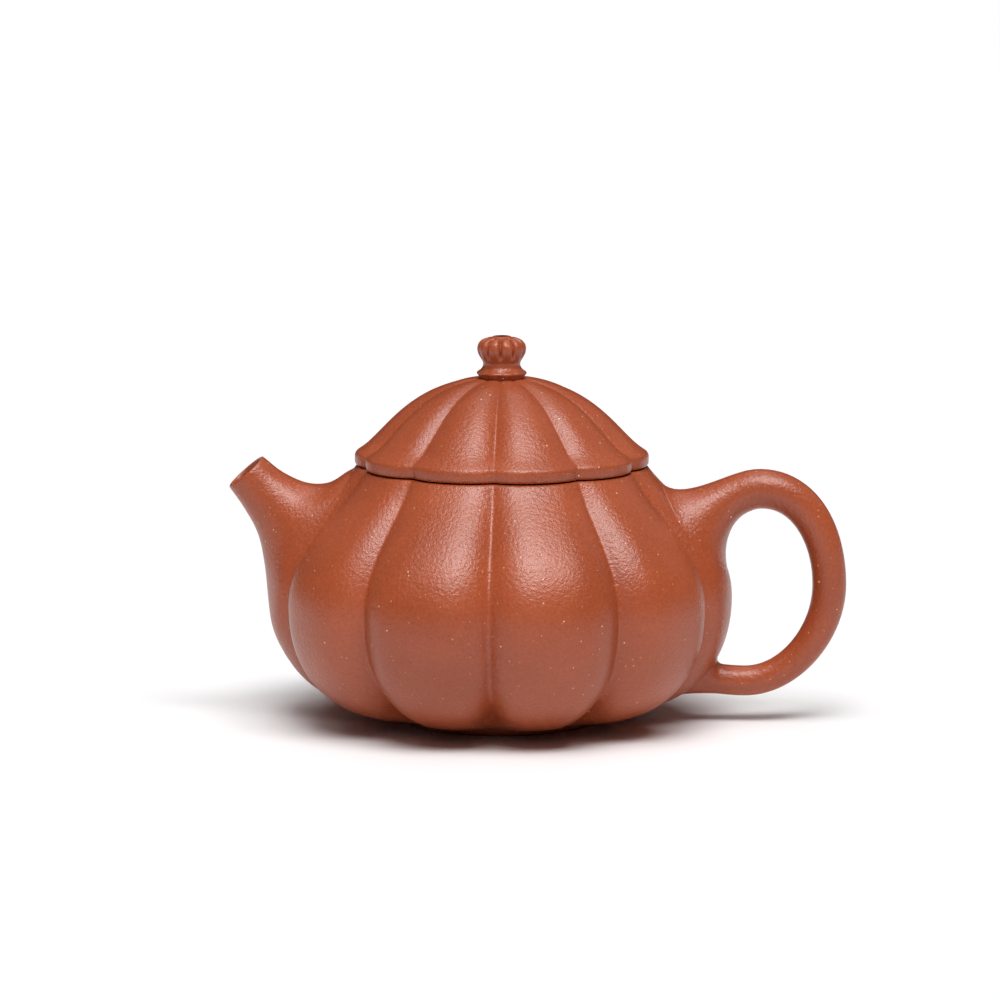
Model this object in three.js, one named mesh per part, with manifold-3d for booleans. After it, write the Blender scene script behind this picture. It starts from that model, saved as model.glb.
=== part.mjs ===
// A ten-lobed clay teapot, taken apart into the pieces that a potter builds it from.
// Millimetres, +Z up, standing on z = 0. The spout points to -X and the handle to +X.
import * as THREE from "three";
import { mergeVertices } from "three/addons/utils/BufferGeometryUtils.js";
import Module from "manifold-3d";

const wasm = await Module();
wasm.setup();

const { lerp, smoothstep, degToRad } = THREE.MathUtils;
const { Vector2, Vector3 } = THREE;

// Driving dimensions. A profile point is (radius, height).
const LOBES = 10;
const JOINT_GAP = 0.3; // between two pieces that are stuck together

const BELLY_RADIUS = 54.6;
const BELLY_HEIGHT = 29.9;
const FOOT_RADIUS = 26.9; // where the wall meets the base disc
const FOOT_HEIGHT = 2.5; // underside of the lobes above the table
const FOOT_PULL = 14.4; // how far the underside runs out flat
const BELLY_DROP = 19.0; // how far the belly stays upright downwards
const BELLY_RISE = 14.0; // and upwards
const MOUTH_RADIUS = 34.4; // lobed outer edge under the lid
const MOUTH_HEIGHT = 60.6;
const NECK_PULL = 9.1;
const NECK_SLOPE = degToRad(54.8);
const WALL = 2.8;
const SEAM_DEPTH = 4.2; // grooves between lobes, on the belly
const SEAM_DEPTH_MOUTH = 1.4;
const SEAM_FADE = 0.12; // share of the wall's profile over which the seams sink in at the foot

const BASE_THICKNESS = 5.2;
const BASE_CHAMFER = 0.5;

const MOUTH_RING_SHARE = 0.06; // share of the wall's profile that the mouth ring takes
const THROAT_RADIUS = 27.5; // round hole that the lid's flange enters
const THROAT_DEPTH = 3.2;

const LID_SEAT_GAP = 0.3;
const LID_RADIUS = 34.5;
const LID_PLATE_THICKNESS = 2.2;
const LID_EDGE_ROUND = 0.6;
const LID_SEAM_DEPTH = 1.8;
const DOME_RISE = 18.0;
const DOME_WALL = 2.2;
const DOME_TOP_RADIUS = 7.1;
const DOME_FLARE = new Vector2(-5.9, 4.3); // handle of the concave flare at the rim
const DOME_CROWN = new Vector2(16.7, -2.7); // handle of the convex crown
const FLANGE_CLEARANCE = 0.5;
const FLANGE_WALL = 2.4;
const FLANGE_DROP = 7.0;
const FLANGE_CHAMFER = 0.6;

const VENT_RADIUS = 1.5;
const COLLAR_RADIUS = 5.8;
const COLLAR_HEIGHT = 2.0;
const NECK_RADIUS = 4.4;
const BUD_RADIUS = 5.6;
const BUD_HEIGHT = 7.4;
const BUD_TOP_RADIUS = 3.7;
const BUD_GROOVE = 0.5;

const SPOUT_REACH = 6.0; // centre of the spout's mouth beyond the belly
const SPOUT_BELOW_MOUTH = 1.8; // and below the pot's mouth
const SPOUT_MOUTH_RADIUS = 5.4;
const SPOUT_LIP = 0.9;
const SPOUT_MOUTH_PITCH = degToRad(49);
const SPOUT_ROOT_PITCH = degToRad(30);
const SPOUT_MOUTH_PULL = 14.0;
const SPOUT_ROOT_PULL = 12.0;
const SPOUT_TAPER = 4.5; // steady growth of its radius from the mouth to the root
const SPOUT_ROOT_FLARE = 9.5; // and the flare on top of that
const SPOUT_BORE_ROOT_RADIUS = 9.0;

const STRAINER_RADIUS = 6.7;
const STRAINER_DOME = 4.2;
const STRAINER_WALL = 1.4;
const STRAINER_RIM = 1.6;
const STRAINER_HOLE_RADIUS = 1.0;
const STRAINER_HOLES = [[1, 0], [6, 3.3]]; // holes in the ring, and the ring's radius

const HANDLE_REACH = 22.8; // the spine's furthest point beyond the belly
const HANDLE_BACK_HEIGHT = 33.0;
const HANDLE_APEX_OUT = 6.1;
const HANDLE_APEX_DROP = 5.5; // below the pot's mouth
const HANDLE_LOW_OUT = 3.9;
const HANDLE_LOW_HEIGHT = 9.5;
const HANDLE_ROOT_IN = 6.3; // both ends start inside the wall and are cut to it
const HANDLE_ROOT_DROP = 14.6;
const HANDLE_ROOT_PITCH = degToRad(30);
const HANDLE_TAIL_HEIGHT = 10.8;
const HANDLE_TAIL_PITCH = degToRad(9);
const HANDLE_PULLS = { // how far the spine keeps straight on each side of a knot
  root: 8.1,
  apexIn: 6.2,
  apexOut: 9.8,
  back: 11.5,
  lowIn: 11.0,
  lowOut: 5.0,
  tail: 6.7,
};
const HANDLE_RADII = [4.45, 3.8, 3.4]; // at the apex, the back and the low point
const HANDLE_ROOT_FLARE = 2.6;
const HANDLE_TAIL_FLARE = 0.6;

const CLAY = 0xa5522f;

const LOBE_FACETS = 6; // an even number, so that crests and seams fall on edges
const TUBE_SIDES = 14;
const ROUND_SIDES = 40;

// A three.js geometry as a manifold-3d solid.
function solidOf(geometry) {
  geometry.deleteAttribute("normal");
  geometry.deleteAttribute("uv");
  const merged = mergeVertices(geometry, 1e-3);
  return new wasm.Manifold(
    new wasm.Mesh({
      numProp: 3,
      vertProperties: merged.attributes.position.array,
      triVerts: new Uint32Array(merged.index.array),
    }),
  );
}

function meshOf(name, solid) {
  const { vertProperties, triVerts } = solid.getMesh();
  const geometry = new THREE.BufferGeometry();
  geometry.setAttribute("position", new THREE.BufferAttribute(vertProperties, 3));
  geometry.setIndex(new THREE.BufferAttribute(triVerts, 1));
  geometry.computeVertexNormals();
  const material = new THREE.MeshStandardMaterial({ color: CLAY, roughness: 0.55, metalness: 0 });
  const mesh = new THREE.Mesh(geometry, material);
  mesh.name = name;
  return mesh;
}

// How much of the seam's depth is reached, for a turn of 0 to 1 that starts in a seam.
function groove(turn, sharpness) {
  const fromCrest = Math.abs(2 * ((turn * LOBES) % 1) - 1);
  return fromCrest ** sharpness;
}

// A station of a lobed profile: its point on the crests and its point in the seams.
function station(radius, height, seamRadius = radius, seamHeight = height) {
  return { crest: new Vector2(radius, height), seam: new Vector2(seamRadius, seamHeight) };
}

function inset({ point, outward, depth }, thickness) {
  const crest = point.clone().addScaledVector(outward, -thickness);
  return { crest, seam: crest.clone().addScaledVector(outward, -depth) };
}

// Spins a profile about +Z, with its seams pressed in. The profile runs up the outside.
function lobedSolid(stations, sharpness = 2) {
  const segments = LOBES * LOBE_FACETS;
  const geometry = new THREE.LatheGeometry(stations.map((s) => s.crest), segments);
  const spots = geometry.attributes.position;
  for (let i = 0; i < spots.count; i++) {
    const { crest, seam } = stations[i % stations.length];
    const turn = Math.floor(i / stations.length) / segments;
    const { x: radius, y: height } = crest.clone().lerp(seam, groove(turn, sharpness));
    const angle = turn * 2 * Math.PI;
    spots.setXYZ(i, radius * Math.sin(angle), height, radius * Math.cos(angle));
  }
  return solidOf(geometry.rotateX(Math.PI / 2));
}

// Spins a plain round profile about +Z.
function roundSolid(points, sides = ROUND_SIDES) {
  return solidOf(new THREE.LatheGeometry(points, sides).rotateX(Math.PI / 2));
}

// A round tube along a spine in the XZ plane. A reach over 1 runs it past the spine's end.
function taperedTube(spine, radiusAt, rings, reach = 1) {
  const geometry = new THREE.CylinderGeometry(1, 1, 1, TUBE_SIDES, rings);
  const spots = geometry.attributes.position;
  const side = new Vector3(0, 1, 0);
  const spot = new Vector3();
  for (let i = 0; i < spots.count; i++) {
    spot.fromBufferAttribute(spots, i);
    const t = (spot.y + 0.5) * reach;
    const across = spine.getTangent(Math.min(t, 1)).cross(side);
    const radius = radiusAt(t);
    const place = spine.getPoint(t)
      .addScaledVector(across, spot.x * radius)
      .addScaledVector(side, spot.z * radius);
    spots.setXYZ(i, place.x, place.y, place.z);
  }
  return solidOf(geometry);
}

function cylinderAlong(radius, from, to) {
  const axis = to.clone().sub(from);
  const geometry = new THREE.CylinderGeometry(radius, radius, axis.length(), ROUND_SIDES / 2);
  const up = new Vector3(0, 1, 0);
  geometry.applyQuaternion(new THREE.Quaternion().setFromUnitVectors(up, axis.clone().normalize()));
  const middle = from.clone().lerp(to, 0.5);
  return solidOf(geometry.translate(middle.x, middle.y, middle.z));
}

function ventBore() {
  const low = new Vector3(0, 0, MOUTH_HEIGHT);
  return cylinderAlong(VENT_RADIUS, low, new Vector3(0, 0, knobTop + 1));
}

// The wall's crest profile, from the foot up to the mouth.
function wallProfile() {
  const foot = new Vector2(FOOT_RADIUS, FOOT_HEIGHT);
  const belly = new Vector2(BELLY_RADIUS, BELLY_HEIGHT);
  const mouth = new Vector2(MOUTH_RADIUS, MOUTH_HEIGHT);
  const lower = new THREE.CubicBezierCurve(
    foot,
    new Vector2(FOOT_RADIUS + FOOT_PULL, FOOT_HEIGHT),
    new Vector2(BELLY_RADIUS, BELLY_HEIGHT - BELLY_DROP),
    belly,
  );
  const upper = new THREE.CubicBezierCurve(
    belly,
    new Vector2(BELLY_RADIUS, BELLY_HEIGHT + BELLY_RISE),
    new Vector2(Math.cos(NECK_SLOPE), -Math.sin(NECK_SLOPE)).multiplyScalar(NECK_PULL).add(mouth),
    mouth,
  );
  const path = new THREE.CurvePath();
  path.add(lower);
  path.add(upper);
  return path;
}

// The seams' depth: nothing at the foot, full up to half way, then shallower towards the mouth.
function seamDepthAt(t) {
  const rise = Math.max(0, 2 * t - 1) ** 1.5;
  return smoothstep(t, 0, SEAM_FADE) * lerp(SEAM_DEPTH, SEAM_DEPTH_MOUTH, rise);
}

// Points along a profile from t0 to t1, each with its outward direction.
function sample(profile, t0, t1, steps, depthAt) {
  return Array.from({ length: steps + 1 }, (_, i) => {
    const t = lerp(t0, t1, i / steps);
    const tangent = profile.getTangent(t);
    return {
      point: profile.getPoint(t),
      outward: new Vector2(tangent.y, -tangent.x),
      depth: depthAt(t),
    };
  });
}

const wall = wallProfile();
const ringStart = 1 - MOUTH_RING_SHARE;
const ringGap = JOINT_GAP / wall.getLength();

// The whole pot's outside, grown by the joint gap: what the spout and the handle are cut to.
function potCutter() {
  const skin = sample(wall, 0, 1, 24, seamDepthAt).map((s) => inset(s, -JOINT_GAP));
  return lobedSolid([station(0, skin[0].crest.y), ...skin, station(0, skin.at(-1).crest.y)]);
}

function wallShell() {
  const skin = sample(wall, 0, ringStart, 15, seamDepthAt);
  const outside = skin.map((s) => inset(s, 0));
  const inside = skin.map((s) => inset(s, WALL)).reverse();
  return lobedSolid([...outside, ...inside, outside[0]]);
}

function mouthRing() {
  const skin = sample(wall, ringStart + ringGap, 1, 2, seamDepthAt);
  const outside = skin.map((s) => inset(s, 0));
  const mouth = station(MOUTH_RADIUS, MOUTH_HEIGHT, MOUTH_RADIUS - SEAM_DEPTH_MOUTH);
  const under = inset(skin[0], WALL);
  return lobedSolid([
    ...outside.slice(0, -1),
    mouth,
    station(THROAT_RADIUS, MOUTH_HEIGHT),
    station(THROAT_RADIUS, MOUTH_HEIGHT - THROAT_DEPTH),
    under,
    outside[0],
  ]);
}

const lidBottom = MOUTH_HEIGHT + LID_SEAT_GAP;
const domeBottom = lidBottom + LID_PLATE_THICKNESS + JOINT_GAP;
const domeTop = domeBottom + DOME_RISE;
const collarBottom = domeTop + JOINT_GAP;
const budBottom = collarBottom + COLLAR_HEIGHT + JOINT_GAP;
const knobTop = budBottom + BUD_HEIGHT;
const flangeRadius = THROAT_RADIUS - FLANGE_CLEARANCE;

function lidPlate() {
  const seam = LID_RADIUS - LID_SEAM_DEPTH;
  const top = lidBottom + LID_PLATE_THICKNESS;
  const hole = flangeRadius - FLANGE_WALL;
  return lobedSolid([
    station(hole, lidBottom),
    station(LID_RADIUS, lidBottom, seam),
    station(LID_RADIUS, top - LID_EDGE_ROUND, seam),
    station(LID_RADIUS - LID_EDGE_ROUND, top, seam - LID_EDGE_ROUND),
    station(hole, top),
    station(hole, lidBottom),
  ]);
}

function lidFlange() {
  const top = lidBottom - JOINT_GAP;
  const bottom = top - FLANGE_DROP;
  const inside = flangeRadius - FLANGE_WALL;
  return roundSolid([
    new Vector2(inside, bottom),
    new Vector2(flangeRadius - FLANGE_CHAMFER, bottom),
    new Vector2(flangeRadius, bottom + FLANGE_CHAMFER),
    new Vector2(flangeRadius, top),
    new Vector2(inside, top),
    new Vector2(inside, bottom),
  ]);
}

function lidDome() {
  const rim = new Vector2(LID_RADIUS - LID_EDGE_ROUND, domeBottom);
  const crown = new Vector2(DOME_TOP_RADIUS, domeTop);
  const profile = new THREE.CubicBezierCurve(
    rim,
    rim.clone().add(DOME_FLARE),
    crown.clone().add(DOME_CROWN),
    crown,
  );
  const depthAt = (t) => LID_SEAM_DEPTH * (1 - smoothstep(t, 0.45, 1));
  const skin = sample(profile, 0, 1, 9, depthAt);
  const outside = skin.map((s) => inset(s, 0));
  const foot = rim.x - LID_SEAM_DEPTH - DOME_WALL;
  const inside = skin.map((s) => inset(s, DOME_WALL)).filter((s) => s.crest.x < foot).reverse();
  return lobedSolid([
    station(foot, domeBottom),
    station(rim.x, rim.y, rim.x - LID_SEAM_DEPTH),
    ...outside.slice(1),
    station(0, domeTop),
    station(0, domeTop - DOME_WALL),
    ...inside,
    station(foot, domeBottom),
  ]).subtract(ventBore());
}

function knobCollar() {
  const top = collarBottom + COLLAR_HEIGHT;
  const waist = (COLLAR_RADIUS + NECK_RADIUS) / 2;
  const round = COLLAR_HEIGHT / 4;
  return lobedSolid([
    station(0, collarBottom),
    station(COLLAR_RADIUS - round, collarBottom),
    station(COLLAR_RADIUS, collarBottom + round, COLLAR_RADIUS - BUD_GROOVE),
    station(COLLAR_RADIUS, top - 2 * round, COLLAR_RADIUS - BUD_GROOVE),
    station(waist, top),
    station(0, top),
  ]).subtract(ventBore());
}

function knobBud() {
  const bud = new THREE.SplineCurve([
    new Vector2(NECK_RADIUS, budBottom),
    new Vector2(NECK_RADIUS, budBottom + 0.2 * BUD_HEIGHT),
    new Vector2(BUD_RADIUS, budBottom + 0.6 * BUD_HEIGHT),
    new Vector2(BUD_TOP_RADIUS, knobTop),
  ]);
  const depthAt = (t) => BUD_GROOVE * smoothstep(t, 0.3, 0.7);
  const skin = sample(bud, 0, 1, 6, depthAt).map((s) => inset(s, 0));
  return lobedSolid([station(0, budBottom), ...skin, station(0, knobTop)], 4).subtract(ventBore());
}

// The spout's spine, from inside the pot to its mouth.
function spoutSpine() {
  const mouth = new Vector3(-BELLY_RADIUS - SPOUT_REACH, 0, MOUTH_HEIGHT - SPOUT_BELOW_MOUTH);
  const aim = new Vector3(-Math.cos(SPOUT_MOUTH_PITCH), 0, Math.sin(SPOUT_MOUTH_PITCH));
  const leave = new Vector3(-Math.cos(SPOUT_ROOT_PITCH), 0, Math.sin(SPOUT_ROOT_PITCH));
  const bend = mouth.clone().addScaledVector(aim, -SPOUT_MOUTH_PULL);
  const root = bend.clone().addScaledVector(leave, -SPOUT_ROOT_PULL);
  return new THREE.QuadraticBezierCurve3(root, bend, mouth);
}

const spine = spoutSpine();

function crestRadiusAt(height) {
  const points = wall.getPoints(100);
  return points.find((p) => p.y >= height && p.x > FOOT_RADIUS).x;
}

// Where the spout's spine comes out of the wall, as a share of the spine.
function wallCrossing() {
  const steps = 400;
  for (let i = 0; i < steps; i++) {
    const p = spine.getPoint(i / steps);
    if (-p.x > crestRadiusAt(p.z)) return i / steps;
  }
  throw new Error("the spout's spine never leaves the pot");
}

function spout() {
  const outer = (t) => SPOUT_MOUTH_RADIUS + SPOUT_TAPER * (1 - t) + SPOUT_ROOT_FLARE * (1 - t) ** 3;
  const boreMouth = SPOUT_MOUTH_RADIUS - SPOUT_LIP;
  const bore = (t) => lerp(boreMouth, SPOUT_BORE_ROOT_RADIUS, Math.max(0, 1 - t) ** 1.6);
  return taperedTube(spine, outer, 18)
    .subtract(taperedTube(spine, bore, 14, 1.05))
    .subtract(potCutter());
}

const crossing = wallCrossing();
const wallPoint = spine.getPoint(crossing);
const wallAxis = spine.getTangent(crossing);

function wallHole() {
  const reach = 2 * WALL;
  const inner = wallPoint.clone().addScaledVector(wallAxis, -reach - WALL);
  const outer = wallPoint.clone().addScaledVector(wallAxis, reach);
  return cylinderAlong(STRAINER_RADIUS + JOINT_GAP, inner, outer);
}

// Points of a shallow cap from its lowest point on the axis out to its rim at height 0.
function capArc(radius, rise) {
  const sphere = (radius ** 2 + rise ** 2) / (2 * rise);
  const edge = Math.asin(radius / sphere);
  return [0, 0.25, 0.5, 0.75, 1].map((t) =>
    new Vector2(sphere * Math.sin(edge * t), sphere * (1 - Math.cos(edge * t)) - rise));
}

// A pierced cap that bulges into the pot. It is made along +Z, then turned along the spout.
function strainer() {
  const inside = STRAINER_RADIUS - STRAINER_WALL;
  let cap = roundSolid([
    ...capArc(STRAINER_RADIUS, STRAINER_DOME),
    new Vector2(STRAINER_RADIUS, STRAINER_RIM),
    new Vector2(inside, STRAINER_RIM),
    ...capArc(inside, STRAINER_DOME - STRAINER_WALL).reverse(),
  ], ROUND_SIDES / 2);
  for (const [count, ringRadius] of STRAINER_HOLES)
    for (let i = 0; i < count; i++) {
      const angle = (2 * Math.PI * i) / count;
      const drill = new THREE.CylinderGeometry(STRAINER_HOLE_RADIUS, STRAINER_HOLE_RADIUS, 20, 6);
      drill.rotateX(Math.PI / 2);
      drill.translate(ringRadius * Math.cos(angle), ringRadius * Math.sin(angle), 0);
      cap = cap.subtract(solidOf(drill));
    }
  const turn = new THREE.Quaternion().setFromUnitVectors(new Vector3(0, 0, 1), wallAxis);
  const seat = wallPoint.clone().addScaledVector(wallAxis, -WALL);
  const place = new THREE.Matrix4().compose(seat, turn, new Vector3(1, 1, 1));
  return cap.transform(place.elements);
}

// A knot of the handle's spine: a place, the way through it, and how far each side keeps to it.
function knot(radius, height, wayOut, wayUp, before, after) {
  const place = new Vector3(radius, 0, height);
  const way = new Vector3(wayOut, 0, wayUp);
  return {
    place,
    arrive: place.clone().addScaledVector(way, -before),
    leave: place.clone().addScaledVector(way, after),
  };
}

function handleSpine() {
  const pull = HANDLE_PULLS;
  const apexHeight = MOUTH_HEIGHT - HANDLE_APEX_DROP;
  const rootHeight = MOUTH_HEIGHT - HANDLE_ROOT_DROP;
  const rootRadius = crestRadiusAt(rootHeight) - HANDLE_ROOT_IN;
  const tailRadius = crestRadiusAt(HANDLE_TAIL_HEIGHT) - HANDLE_ROOT_IN;
  const rootWay = [Math.cos(HANDLE_ROOT_PITCH), Math.sin(HANDLE_ROOT_PITCH)];
  const tailWay = [-Math.cos(HANDLE_TAIL_PITCH), Math.sin(HANDLE_TAIL_PITCH)];
  const knots = [
    knot(rootRadius, rootHeight, ...rootWay, 0, pull.root),
    knot(BELLY_RADIUS + HANDLE_APEX_OUT, apexHeight, 1, 0, pull.apexIn, pull.apexOut),
    knot(BELLY_RADIUS + HANDLE_REACH, HANDLE_BACK_HEIGHT, 0, -1, pull.back, pull.back),
    knot(BELLY_RADIUS + HANDLE_LOW_OUT, HANDLE_LOW_HEIGHT, -1, 0, pull.lowIn, pull.lowOut),
    knot(tailRadius, HANDLE_TAIL_HEIGHT, ...tailWay, pull.tail, 0),
  ];
  const path = new THREE.CurvePath();
  knots.slice(1).forEach((to, i) => {
    const from = knots[i];
    path.add(new THREE.CubicBezierCurve3(from.place, from.leave, to.arrive, to.place));
  });
  return path;
}

function handle() {
  const path = handleSpine();
  const lengths = path.getCurveLengths();
  const total = lengths.at(-1);
  const [apex, back, low] = lengths.map((l) => l / total);
  const [apexRadius, backRadius, lowRadius] = HANDLE_RADII;
  const radiusAt = (t) => {
    const upper = lerp(apexRadius, backRadius, smoothstep(t, apex, back));
    const plain = lerp(upper, lowRadius, smoothstep(t, back, low));
    const rootFlare = HANDLE_ROOT_FLARE * (1 - smoothstep(t, 0, apex));
    return plain + rootFlare + HANDLE_TAIL_FLARE * smoothstep(t, low, 1);
  };
  return taperedTube(path, radiusAt, 40).subtract(potCutter());
}

function baseDisc() {
  const radius = FOOT_RADIUS - JOINT_GAP;
  return roundSolid([
    new Vector2(0, 0),
    new Vector2(radius - BASE_CHAMFER, 0),
    new Vector2(radius, BASE_CHAMFER),
    new Vector2(radius, BASE_THICKNESS),
    new Vector2(0, BASE_THICKNESS),
  ]);
}

const teapot = new THREE.Group();
teapot.add(
  meshOf("body_wall", wallShell().subtract(wallHole())),
  meshOf("base_disc", baseDisc()),
  meshOf("mouth_ring", mouthRing()),
  meshOf("spout", spout()),
  meshOf("strainer", strainer()),
  meshOf("handle", handle()),
  meshOf("lid_flange", lidFlange()),
  meshOf("lid_plate", lidPlate()),
  meshOf("lid_dome", lidDome()),
  meshOf("knob_collar", knobCollar()),
  meshOf("knob_bud", knobBud()),
);
export default teapot;
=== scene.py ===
"""A small clay teapot with ten lobes: its fine surfaces, its clay and a plain studio to see it in.

The pot stands on z = 0 with its spout towards -X and its handle towards +X. Lengths are in metres.
"""

import math
from collections import namedtuple
from itertools import accumulate

import bpy
from mathutils import Matrix, Vector
from mathutils.geometry import interpolate_bezier


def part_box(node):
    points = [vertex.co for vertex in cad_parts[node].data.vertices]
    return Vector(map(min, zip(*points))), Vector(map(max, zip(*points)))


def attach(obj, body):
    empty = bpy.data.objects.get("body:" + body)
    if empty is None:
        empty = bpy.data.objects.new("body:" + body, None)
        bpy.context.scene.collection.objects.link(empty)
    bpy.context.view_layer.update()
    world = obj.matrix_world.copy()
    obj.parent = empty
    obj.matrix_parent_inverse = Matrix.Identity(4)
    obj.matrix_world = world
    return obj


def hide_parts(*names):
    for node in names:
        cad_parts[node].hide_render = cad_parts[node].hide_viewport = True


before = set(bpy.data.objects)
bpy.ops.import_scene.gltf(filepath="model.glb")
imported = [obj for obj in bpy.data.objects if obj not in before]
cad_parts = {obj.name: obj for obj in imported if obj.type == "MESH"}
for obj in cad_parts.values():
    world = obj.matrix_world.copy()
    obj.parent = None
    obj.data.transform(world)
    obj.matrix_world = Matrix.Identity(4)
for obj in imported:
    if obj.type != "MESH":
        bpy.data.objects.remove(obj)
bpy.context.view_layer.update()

MM = 0.001
LOBES = 10
JOINT_GAP = 0.3 * MM  # between neighbouring solids of the frame, closed here

# The pot's body.
wall_low, wall_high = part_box("body_wall")
FOOT_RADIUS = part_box("base_disc")[1].x + JOINT_GAP
BELLY_RADIUS = wall_high.x
BELLY_HEIGHT = 29.9 * MM
MOUTH_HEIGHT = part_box("mouth_ring")[1].z
MOUTH_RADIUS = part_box("lid_plate")[1].x - 0.1 * MM
WALL = 2.8 * MM
SEAM_DEPTH = 4.7 * MM
SEAM_CREASE = 3.4
SEAM_SOFTNESS = 0.035
SEAM_DEPTH_MOUTH = 1.7 * MM
FOOT_SETBACK = 3.0 * MM
FOOT_CHAMFER = 0.6 * MM
SEAM_FADE = 0.16
THROAT_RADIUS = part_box("lid_flange")[1].x + 0.5 * MM
THROAT_DEPTH = 3.2 * MM
MOUTH_EDGE_SHARE = 0.985  # where the beaten wall ends, as a share of its outline
SHOULDER_SHARE = 0.93  # where the wall's inside meets the mouth's underside

# The spout, its bore and its strainer.
SPOUT_HOLE_RADIUS = 7.0 * MM
SPOUT_ROOT_HOLE_RADIUS = 8.3 * MM
SPOUT_MOUTH_TIP = math.radians(4.5)
LIP_WIDTH = 0.8 * MM
SPOUT_WALL_MIDDLE = 1.3 * MM
SPOUT_WALL_ROOT = 1.9 * MM
STRAINER_RADIUS = 6.7 * MM
STRAINER_RISE = 4.2 * MM
STRAINER_WALL = 1.4 * MM
STRAINER_RIM = 1.6 * MM
STRAINER_RING = 3.3 * MM
STRAINER_HOLE = 1.0 * MM

# The handle's own half thickness, which shrinks along its loop.
HANDLE_TOP_RADIUS = 4.75 * MM
HANDLE_BACK_RADIUS = 4.0 * MM
HANDLE_TAIL_RADIUS = 3.55 * MM

# The lid and its knob.
LID_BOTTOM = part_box("lid_plate")[0].z
LID_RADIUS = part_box("lid_plate")[1].x + 0.15 * MM
LID_SEAM_DEPTH = 2.1 * MM
LID_SEAM_DEPTH_TOP = 0.45 * MM
LID_CREASE = 2.8
BAND_HEIGHT = 2.9 * MM
LID_WALL = 2.2 * MM
LID_HOLLOW_RADIUS = 24.6 * MM
DOME_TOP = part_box("lid_dome")[1].z
DOME_TOP_RADIUS = 7.1 * MM
FLANGE_WALL = 2.4 * MM
VENT_RADIUS = 1.5 * MM
COLLAR_GROOVE = 0.25 * MM
COLLAR_CREASE = 2.0
BUD_GROOVE = 1.05 * MM
BUD_CREASE = 4.4

# A point of an outline, how its seams are pressed in, how sharp they are, and whether its clay is raw.
Station = namedtuple("Station", "point press crease raw", defaults=(2.0, 0.0))


def spot(x_mm, z_mm):
    """A point in the upright plane through spout and handle."""
    return Vector((x_mm, 0, z_mm)) * MM


def smoothstep(value, low, high):
    share = min(max((value - low) / (high - low), 0), 1)
    return share * share * (3 - 2 * share)


def mix(a, b, share):
    return a + (b - a) * share


spout_seat = spot(-47.1, 46.2)
spout_axis = spot(-0.836, 0.549).normalized()


# ---- Outlines in the (radius, height) plane, kept as points (radius, 0, height). ----


class Outline:
    """A smooth line of Bezier curves that is sampled by its share of the line's length."""

    def __init__(self, *curves, fineness=240):
        self.points = [Vector(curves[0][0])]
        for curve in curves:
            self.points += interpolate_bezier(*curve, fineness)[1:]
        steps = [(b - a).length for a, b in zip(self.points, self.points[1:])]
        self.reach = [0, *accumulate(steps)]
        self.length = self.reach[-1]

    def _step(self, share):
        goal = min(max(share, 0), 1) * self.length
        low, high = 0, len(self.reach) - 2
        while low < high:
            middle = (low + high + 1) // 2
            low, high = (middle, high) if self.reach[middle] <= goal else (low, middle - 1)
        return low, (goal - self.reach[low]) / (self.reach[low + 1] - self.reach[low])

    def point(self, share):
        start, part = self._step(share)
        return self.points[start].lerp(self.points[start + 1], part)

    def outward(self, share):
        """The direction out of the clay, where the outline runs up the outside."""
        reach = 0.004
        way = self.point(min(share + reach, 1)) - self.point(max(share - reach, 0))
        return Vector((way.z, 0, -way.x)).normalized()

    def share_at(self, height):
        """The share at which an outline that only climbs reaches a height."""
        low, high = 0.0, 1.0
        for _ in range(40):
            middle = (low + high) / 2
            low, high = (middle, high) if self.point(middle).z < height else (low, middle)
        return low


def rounded(corners, radius, steps=5):
    """The corners' line, with every corner but the first and the last rounded off."""
    line = [corners[0]]
    for before, corner, after in zip(corners, corners[1:], corners[2:]):
        reach = min(radius, (corner - before).length * 0.45, (after - corner).length * 0.45)
        start = corner + (before - corner).normalized() * reach
        end = corner + (after - corner).normalized() * reach
        line += interpolate_bezier(start, start.lerp(corner, 0.55), end.lerp(corner, 0.55), end, steps)
    return line + [corners[-1]]


def plain(points, depth=0.0, **nature):
    """Stations whose seams are pressed straight inwards."""
    return [Station(p, Vector((-depth, 0, 0)), **nature) for p in points]


def closed(stations):
    return stations + stations[:1]


# ---- Trees of geometry nodes. ----


def add(tree, kind, inputs=None, **settings):
    """A node with its settings, and with each input either linked or set."""
    made = tree.nodes.new(kind)
    for name, value in settings.items():
        setattr(made, name, value)
    for place, value in (inputs or {}).items():
        if isinstance(value, bpy.types.NodeSocket):
            tree.links.new(value, made.inputs[place])
        else:
            made.inputs[place].default_value = value
    return made


def calc(tree, operation, *values):
    return add(tree, "ShaderNodeMath", dict(enumerate(values)), operation=operation).outputs[0]


def new_tree(name, sockets):
    """An empty tree, and its inputs by name."""
    tree = bpy.data.node_groups.new(name, "GeometryNodeTree")
    tree.interface.new_socket(name="Geometry", in_out="OUTPUT", socket_type="NodeSocketGeometry")
    for label, kind in {"Geometry": "Geometry", **sockets, "Material": "Material"}.items():
        tree.interface.new_socket(name=label, in_out="INPUT", socket_type="NodeSocket" + kind)
    return tree, tree.nodes.new("NodeGroupInput").outputs


def end_tree(tree, geometry, material):
    """Ends a tree with plain, smooth, painted geometry."""
    smooth = add(tree, "GeometryNodeSetShadeSmooth", {"Geometry": geometry}).outputs[0]
    real = add(tree, "GeometryNodeRealizeInstances", {"Geometry": smooth}).outputs[0]
    painted = add(tree, "GeometryNodeSetMaterial", {"Geometry": real, "Material": material})
    tree.links.new(painted.outputs[0], tree.nodes.new("NodeGroupOutput").inputs[0])


def sampled(tree, geometry, value, index, kind="FLOAT_VECTOR"):
    inputs = {"Geometry": geometry, "Value": value, "Index": index}
    return add(tree, "GeometryNodeSampleIndex", inputs, data_type=kind).outputs[0]


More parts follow.
